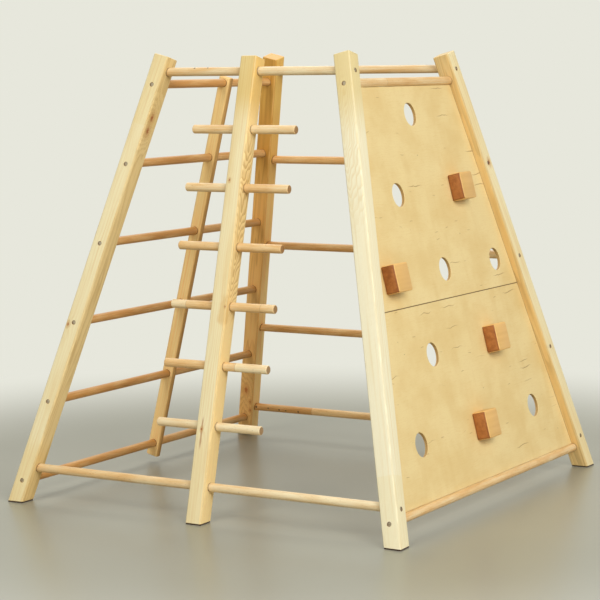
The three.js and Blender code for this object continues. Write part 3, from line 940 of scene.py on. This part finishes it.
def length_property(name, description, default, least):
    """A length whose default and least value are given in millimetres."""
    return bpy.props.FloatProperty(
        name=name, description=description, default=default * MM, min=least * MM, unit="LENGTH"
    )


def power_property(name, description, watts):
    return bpy.props.FloatProperty(
        name=name, description=description, default=watts, min=0.0, unit="POWER"
    )


class TowerWoods(bpy.types.PropertyGroup):
    pine_early: color_property("Pine, early wood", 250, 237, 194)
    pine_late: color_property("Pine, late wood", 226, 186, 116)
    pine_patch: color_property("Pine, warm patches", 240, 216, 160)
    # The knot colour also gives the painted shade round the posts' screw heads.
    pine_knot: color_property("Pine knots", 166, 88, 40)
    cream_early: color_property("Cream pine, early wood", 250, 240, 204)
    cream_late: color_property("Cream pine, late wood", 233, 208, 151)
    cream_patch: color_property("Cream pine, patches", 246, 232, 190)
    warm_early: color_property("Warm pine, early wood", 236, 202, 140)
    warm_late: color_property("Warm pine, late wood", 198, 144, 78)
    warm_patch: color_property("Warm pine, patches", 222, 178, 112)
    dowel_cream: color_property("Dowels, cream", 246, 228, 188)
    dowel_tan: color_property("Dowels, tan", 232, 192, 134)
    dowel_brown: color_property("Dowels, brown", 206, 148, 80)
    # The dowels' dark colour also gives the painted shade where a rod meets a post.
    dowel_dark: color_property("Dowels, pores and ends", 128, 82, 46)
    ply_pale: color_property("Plywood, pale veneer", 244, 220, 162)
    ply_deep: color_property("Plywood, deep veneer", 228, 194, 126)
    # The bark-mark colour also gives the painted shade beside the posts and seam, and the dark seam strip.
    ply_dark: color_property("Plywood, bark marks", 156, 112, 60)
    ply_glue: color_property("Plywood, cross plies", 168, 116, 62)
    block_pale: color_property("Hold blocks, long grain", 230, 184, 112)
    block_deep: color_property("Hold blocks, deep long grain", 214, 164, 90)
    block_end: color_property("Hold blocks, end grain", 184, 118, 62)
    block_dark: color_property("Hold blocks, dark end grain", 150, 88, 42)
    ring_spacing: length_property(
        "Ring spacing", "Distance between the growth rings of the posts", 6.5, least=1
    )
    ply_thickness: length_property(
        "Plywood", "Thickness of the plywood that its plies are drawn in", 9, least=3
    )
    # The tongue is the dark strip of painted shade in the seam.
    tongue_setback: length_property(
        "Tongue setback", "How far the tongue in the seam lies under the faces of the plywood", 1.2, least=0.2
    )


class TowerFittings(bpy.types.PropertyGroup):
    steel: color_property("Screws", 208, 196, 172)
    felt: color_property("Foot pads", 62, 44, 32)
    head_width: length_property("Screw head", "Width of a countersunk screw head", 8.6, least=4)
    pan_width: length_property("Pan head", "Width of the screw heads behind the hold blocks", 9.1, least=4)
    shank_width: length_property("Screw shank", "Width of a screw shank", 4, least=2)
    recess_arm: length_property(
        "Recess arm", "Reach of the cross recess from the middle of the head", 2.4, least=1
    )


class TowerStage(bpy.types.PropertyGroup):
    floor: color_property("Floor", 158, 157, 143)
    backdrop: color_property("Backdrop", 231, 231, 220)
    front_lamp: power_property("Front lamp", "Power of the lamp in front of the tower", 142.0)
    side_lamp: power_property("Side lamp", "Power of the lamp beside the wall", 90.0)
    fill_lamp: power_property("Fill lamp", "Power of the lamp between the other two", 220.0)
    back_lamp: power_property("Back lamp", "Power of the high lamp behind the tower", 150.0)
    ambient: bpy.props.FloatProperty(
        name="Ambient light", description="Strength of the light from all round", default=0.3, min=0.0
    )


BOARDS = {
    "post_front_left": Board(
        pith=(-46, 30),
        seed=1.0,
        figure=0.24,
        warm_side=(1, 0, 18.0, 0.35, 1.08),
        knots=[(22.5, -6.4, 1034, 9.0), (22.5, -7.4, 999.5, 9.0), (-14.7, -22.5, 469.5, 4.5)],
        joints=[(1010, (0.98, 0.96, 0.9), 1), (150, (0.97, 0.92, 0.82), -60)],
    ),
    "post_front_middle": Board(
        pith=(-62, -4),
        seed=2.0,
        figure=0.3,
        warm_side=(1, 0, 18.0, 0.32, 1.26),
        arched=(1, 0, 20.5, -10.0, 520, 940),
        knots=[(-11.7, -22.5, 841, 3.2), (-7, -22.5, 226, 3.5), (19, -22.5, 528, 2.6)],
        joints=[(1020, (0.89, 0.79, 0.56), 90)],
        streaks=[(-6, -22.5, 172, 262, 3.2, 1.0), (17, -22.5, 470, 566, 17, 0.0)],
    ),
    "post_front_right": Board(
        pith=(-24, -72),
        seed=3.0,
        figure=0.44,
        wood="cream",
        arched=(0, -1, 20.5, -16.0, 780, 1120),
        joints=[(165, (1.02, 1.04, 1.11), 1), (1040, (0.88, 0.79, 0.57), 140)],
    ),
    "post_back_right": Board(
        pith=(30, -70),
        seed=4.0,
        figure=0.4,
        warm_side=(0, -1, 18.0, 0.9, 1.1),
        knots=[(22.5, 5.1, 883, 6.5)],
    ),
    "post_back_left": Board(
        pith=(20, 36),
        seed=5.0,
        figure=0.26,
        wood="warm",
        warm_side=(0, -1, 18.0, 0.3, 1.0),
        tone=1.5,
        joints=[
            (560, (0.94, 0.88, 0.73), 200),
            (820, (0.72, 0.67, 0.47), 160),
            (1040, (1.05, 1.13, 1.18), 60),
        ],
        knots=[(-1.7, -22.5, 155, 9.0), (15, -22.5, 120, 4.0), (17, -22.5, 93, 4.0)],
    ),
    "lath_left": Board(
        pith=(-38, 22),
        seed=6.0,
        figure=0.3,
        wood="warm",
        halves=LATH_HALVES,
        warm_side=(1, 0, 16.5, 1.0, 0.62),
        tone=1.38,
        joints=[(700, (0.92, 0.95, 0.95), 300)],
    ),
}

RODS = {
    "front_rung_1": Rod((-600, 0.34), (-100, 0.3), (180, 0.1), soft=110.0),
    "front_rung_2": Rod((-600, 0.3), (0, 0.1), knots=[(-164.9, 9.0, 3.4), (-125.8, 9.5, 3.0)]),
    "back_rung_1": Rod(
        (-600, 0.8),
        (-301.4, 0.45),
        tone=1.2,
        knots=[(-492, 1, 4.5), (-450, 0, 2.8), (-412, -2, 3.4), (-389, -3, 2.6), (-346, -3, 3.6)],
    ),
    "back_rung_5": Rod((-600, 0.35)),
    "right_rung_1": Rod((-600, 0.4), tone=1.04),
    "right_rung_2": Rod((-600, 0.32), (-100.3, 0.46)),
    "peg_1": Rod((-200, 0.2), (0, 0.08)),
    "peg_2": Rod((-200, 0.45), (59, 0.1), tone=1.05),
    "peg_3": Rod((-200, 0.15), (-105, 0.4), (111, 0.35), tone=1.05),
    "peg_4": Rod((-200, 0.45), tone=1.04),
    "peg_5": Rod((-200, 0.26), (0, 0.38), tone=1.05),
    "peg_6": Rod((-200, 0.34), (0, 0.2), tone=1.05),
}
SIDE_RODS = {
    "back": Rod((-600, 0.7), (60, 0.3), tone=1.2, soft=240.0),
    "left": Rod((-600, 0.9), (60, 0.76), tone=1.04, soft=240.0),
}

# The boards that a rung on each side enters or passes.
MET = {
    "front": ("post_front_left", "post_front_middle", "post_front_right"),
    "back": ("post_back_left", "post_back_right"),
    "left": ("post_front_left", "post_back_left", "lath_left"),
    "right": ("post_front_right", "post_back_right"),
    "peg": ("post_front_middle",),
}
HOLD_TONES = {"hold_block_1": 1.0, "hold_block_2": 1.04, "hold_block_3": 1.1, "hold_block_4": 1.07}


def screw_places(post):
    """The middles of the screw heads in a post."""
    places = []
    for node in nodes_named("screw_" + post.replace("post_", "") + "_"):
        places.append(box_end(node, SIDES[node.split("_")[-2]]))
    if post == "post_back_left":
        places += [box_end(node, SIDES["left"]) for node in nodes_named("back_rung_")]
        places += [box_end(node, SIDES["back"]) for node in nodes_named("left_rung_")]
    return places


class TOWER_OT_posts(bpy.types.Operator):
    """Finishes the five posts in sawn pine, the far one in a warmer board"""

    bl_idname = "tower.posts"
    bl_label = "Posts"

    def execute(self, context):
        for node in nodes_named("post_"):
            wear(node, softwood(node, context.scene), POST_TURN)
        return {"FINISHED"}


class TOWER_OT_lath(bpy.types.Operator):
    """Finishes the slim lath that steadies the left rungs"""

    bl_idname = "tower.lath"
    bl_label = "Lath"

    def execute(self, context):
        wear("lath_left", softwood("lath_left", context.scene), POST_TURN)
        return {"FINISHED"}


class TOWER_OT_rungs(bpy.types.Operator):
    """Finishes the rungs of all four sides as turned dowels"""

    bl_idname = "tower.rungs"
    bl_label = "Rungs"

    def execute(self, context):
        for number, side in enumerate(SIDES):
            for index, node in enumerate(nodes_named(side + "_rung_")):
                seed = 10.0 * number + index
                wear(node, dowel_wood(node, seed, context.scene), ROUND_TURN)
        return {"FINISHED"}


class TOWER_OT_pegs(bpy.types.Operator):
    """Finishes the cross pegs of the middle post"""

    bl_idname = "tower.pegs"
    bl_label = "Pegs"

    def execute(self, context):
        for seed, node in enumerate(nodes_named("peg_"), 80):
            wear(node, dowel_wood(node, seed, context.scene), ROUND_TURN)
        return {"FINISHED"}


class TOWER_OT_wall(bpy.types.Operator):
    """Finishes the two plywood panels of the wall"""

    bl_idname = "tower.wall"
    bl_label = "Plywood wall"

    def execute(self, context):
        for seed, node in enumerate(("panel_lower", "panel_upper"), 1):
            wear(node, plywood(node, seed, context.scene), ROUND_TURN)
        return {"FINISHED"}


class TOWER_OT_seam(bpy.types.Operator):
    """Makes the loose dark strip that closes the seam between the two panels, as painted shade for the gap"""

    bl_idname = "tower.seam"
    bl_label = "Seam tongue"

    def execute(self, context):
        woods = context.scene.tower_woods
        wall = wall_frame()
        gap = SEAM_GAP * MM
        reach = line_half(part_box("panel_lower")[1].z) - POST_HALVES[1] * MM
        depth = woods.ply_thickness - 2 * woods.tongue_setback
        shape = bmesh.new()
        bmesh.ops.create_cube(shape, size=1.0)
        bmesh.ops.scale(shape, vec=(2 * reach, gap, depth), verts=shape.verts)
        place = (0, seam_height() + gap / 2, -woods.ply_thickness / 2)
        bmesh.ops.translate(shape, vec=place, verts=shape.verts)
        long_edges = [e for e in shape.edges if abs(e.verts[0].co.x - e.verts[1].co.x) > reach]
        bmesh.ops.bevel(shape, geom=long_edges, offset=TONGUE_BEVEL * MM, segments=2, affect="EDGES")
        shape.transform(wall)
        tongue = placed("seam_tongue", mesh_of("Seam tongue", shape))
        # The strip is dark brown as painted shade, so the seam reads as a shaded gap.
        brown = shaded(woods.ply_dark, 0.5)
        tongue.data.materials.append(seam_shade_wood("Brown beech of the seam tongue", wall, brown))
        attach(tongue, BODY)
        return {"FINISHED"}


class TOWER_OT_hold_blocks(bpy.types.Operator):
    """Finishes the four hold blocks in oiled hardwood"""

    bl_idname = "tower.hold_blocks"
    bl_label = "Hold blocks"

    def execute(self, context):
        for seed, node in enumerate(HOLD_TONES, 3):
            wear(node, oiled_block(node, seed, context.scene), BLOCK_TURN)
        return {"FINISHED"}


class TOWER_OT_screws(bpy.types.Operator):
    """Makes the countersunk screws of the rung ends, and the heads of those fixed in a rung or panel"""

    bl_idname = "tower.screws"
    bl_label = "Screws"

    def execute(self, context):
        sizes = context.scene.tower_fittings
        material = zinc("Zinc-plated steel", sizes.steel)
        whole_screws(sizes, material)
        rung_faces(sizes, material)
        hold_heads(sizes, material, context.scene.tower_woods.ply_thickness)
        return {"FINISHED"}


class TOWER_OT_foot_pads(bpy.types.Operator):
    """Finishes the dark felt pads under the posts"""

    bl_idname = "tower.foot_pads"
    bl_label = "Foot pads"

    def execute(self, context):
        material = felt("Brown felt", context.scene.tower_fittings.felt)
        for node in nodes_named("foot_pad_"):
            wear(node, material)
        return {"FINISHED"}


# The stage, in metres: the floor, where it turns into the backdrop, and its cloudy patches per metre.
FLOOR_RADIUS = 30.0
FLOOR_SIDES = 96
FLOOR_DROP = 0.2 * MM
FLOOR_FADE = (1.0, 2.2)
FLOOR_CLOUDS = 1.2

# The lamps' places and widths, in metres.
LAMPS = {
    "front": ((-0.6, -5.5, 4.4), 3.0),
    "side": ((5.6, -0.4, 3.9), 3.4),
    "fill": ((5.0, -3.5, 3.6), 3.0),
    "back": ((-2.0, 3.0, 5.5), 4.0),
}
LAMP_TARGET = Vector((0, 0, 0.5))
LAMP_COLOR = (1.0, 0.985, 0.95)

# The camera: where it stands, in metres, how it is turned, in degrees, and its lens, in millimetres.
CAMERA_PLACE = (2.676069, -4.536896, 1.094393)
CAMERA_YAW = 30.811
CAMERA_PITCH = -6.5728
CAMERA_ROLL = -0.6407
CAMERA_LENS = 121.093
CAMERA_SENSOR = 36.0
CAMERA_REACH = 100.0


def floor(look):
    made = bmesh.new()
    bmesh.ops.create_circle(made, cap_ends=True, segments=FLOOR_SIDES, radius=FLOOR_RADIUS)
    item = placed("Floor", mesh_of("Floor", made))
    item.location.z = -FLOOR_DROP
    f = Finish("Pale floor")
    place = f.object_place()
    cloud = f.noise(place * FLOOR_CLOUDS, (1, 1, 1), 3.0)
    tone = f.mix(cloud.ramp(0.3, 0.7), look.floor, shaded(look.floor, 0.96))
    f.finish(tone, cloud.spread(0.27, 0.33))
    share = place.length().ramp(*FLOOR_FADE) * f.in_sight()
    glow = f.value("ShaderNodeEmission", {"Color": look.backdrop})
    blend = f.value("ShaderNodeMixShader", {0: share, 1: f.surface, 2: glow})
    f.feed(f.output.inputs["Surface"], blend)
    item.data.materials.append(f.material)


def surroundings(scene, look):
    """Light from all round, with the backdrop's own colour where it is seen."""
    scene.world = bpy.data.worlds.new("Studio")
    scene.world.use_nodes = True
    w = Wiring(scene.world.node_tree)
    ambient = w.value("ShaderNodeBackground", {"Color": look.backdrop, "Strength": look.ambient})
    backdrop = w.value("ShaderNodeBackground", {"Color": look.backdrop, "Strength": 1.0})
    blend = w.value("ShaderNodeMixShader", {0: w.in_sight(), 1: ambient, 2: backdrop})
    w.node("ShaderNodeOutputWorld", {"Surface": blend})
    scene.view_settings.view_transform = "Standard"


def lamp(name, power):
    place, size = LAMPS[name]
    data = bpy.data.lights.new(name.capitalize() + " lamp", "AREA")
    data.shape = "DISK"
    data.size = size
    data.energy = power
    data.color = LAMP_COLOR
    item = placed(data.name, data)
    item.location = place
    item.rotation_euler = (LAMP_TARGET - Vector(place)).to_track_quat("-Z", "Y").to_euler()


def camera(scene):
    data = bpy.data.cameras.new("Camera")
    data.lens = CAMERA_LENS
    data.sensor_width = CAMERA_SENSOR
    data.clip_end = CAMERA_REACH
    item = placed("Camera", data)
    turn = Matrix.Rotation(math.radians(CAMERA_YAW), 4, "Z")
    tilt = Matrix.Rotation(math.radians(90 + CAMERA_PITCH), 4, "X")
    roll = Matrix.Rotation(math.radians(CAMERA_ROLL), 4, "Z")
    item.matrix_world = Matrix.Translation(CAMERA_PLACE) @ turn @ tilt @ roll
    scene.camera = item


class TOWER_OT_stage(bpy.types.Operator):
    """Makes the pale floor, the soft lamps, the surroundings and the camera"""

    bl_idname = "tower.stage"
    bl_label = "Stage"

    def execute(self, context):
        scene = context.scene
        look = scene.tower_stage
        floor(look)
        surroundings(scene, look)
        for name in LAMPS:
            lamp(name, getattr(look, name + "_lamp"))
        camera(scene)
        return {"FINISHED"}


STEPS = ("posts", "lath", "rungs", "pegs", "wall", "seam", "hold_blocks", "screws", "foot_pads", "stage")
GROUPS = {"tower_woods": TowerWoods, "tower_fittings": TowerFittings, "tower_stage": TowerStage}


class TOWER_PT_panel(bpy.types.Panel):
    """Lists the tower's pieces"""

    bl_idname = "TOWER_PT_panel"
    bl_label = "Climbing tower"
    bl_space_type = "VIEW_3D"
    bl_region_type = "UI"
    bl_category = "Tower"

    def draw(self, context):
        for step in STEPS:
            self.layout.operator("tower." + step)
        for group_name in GROUPS:
            group = getattr(context.scene, group_name)
            box = self.layout.box()
            for name in group.bl_rna.properties.keys():
                if name not in ("rna_type", "name"):
                    box.prop(group, name)


CLASSES = (
    *GROUPS.values(),
    TOWER_OT_posts,
    TOWER_OT_lath,
    TOWER_OT_rungs,
    TOWER_OT_pegs,
    TOWER_OT_wall,
    TOWER_OT_seam,
    TOWER_OT_hold_blocks,
    TOWER_OT_screws,
    TOWER_OT_foot_pads,
    TOWER_OT_stage,
    TOWER_PT_panel,
)


def register():
    for item in CLASSES:
        bpy.utils.register_class(item)
    for name, group in GROUPS.items():
        setattr(bpy.types.Scene, name, bpy.props.PointerProperty(type=group))


def unregister():
    for name in GROUPS:
        delattr(bpy.types.Scene, name)
    for item in reversed(CLASSES):
        bpy.utils.unregister_class(item)


def main():
    register()
    for step in STEPS:
        getattr(bpy.ops.tower, step)()


if __name__ == "__main__":
    main()
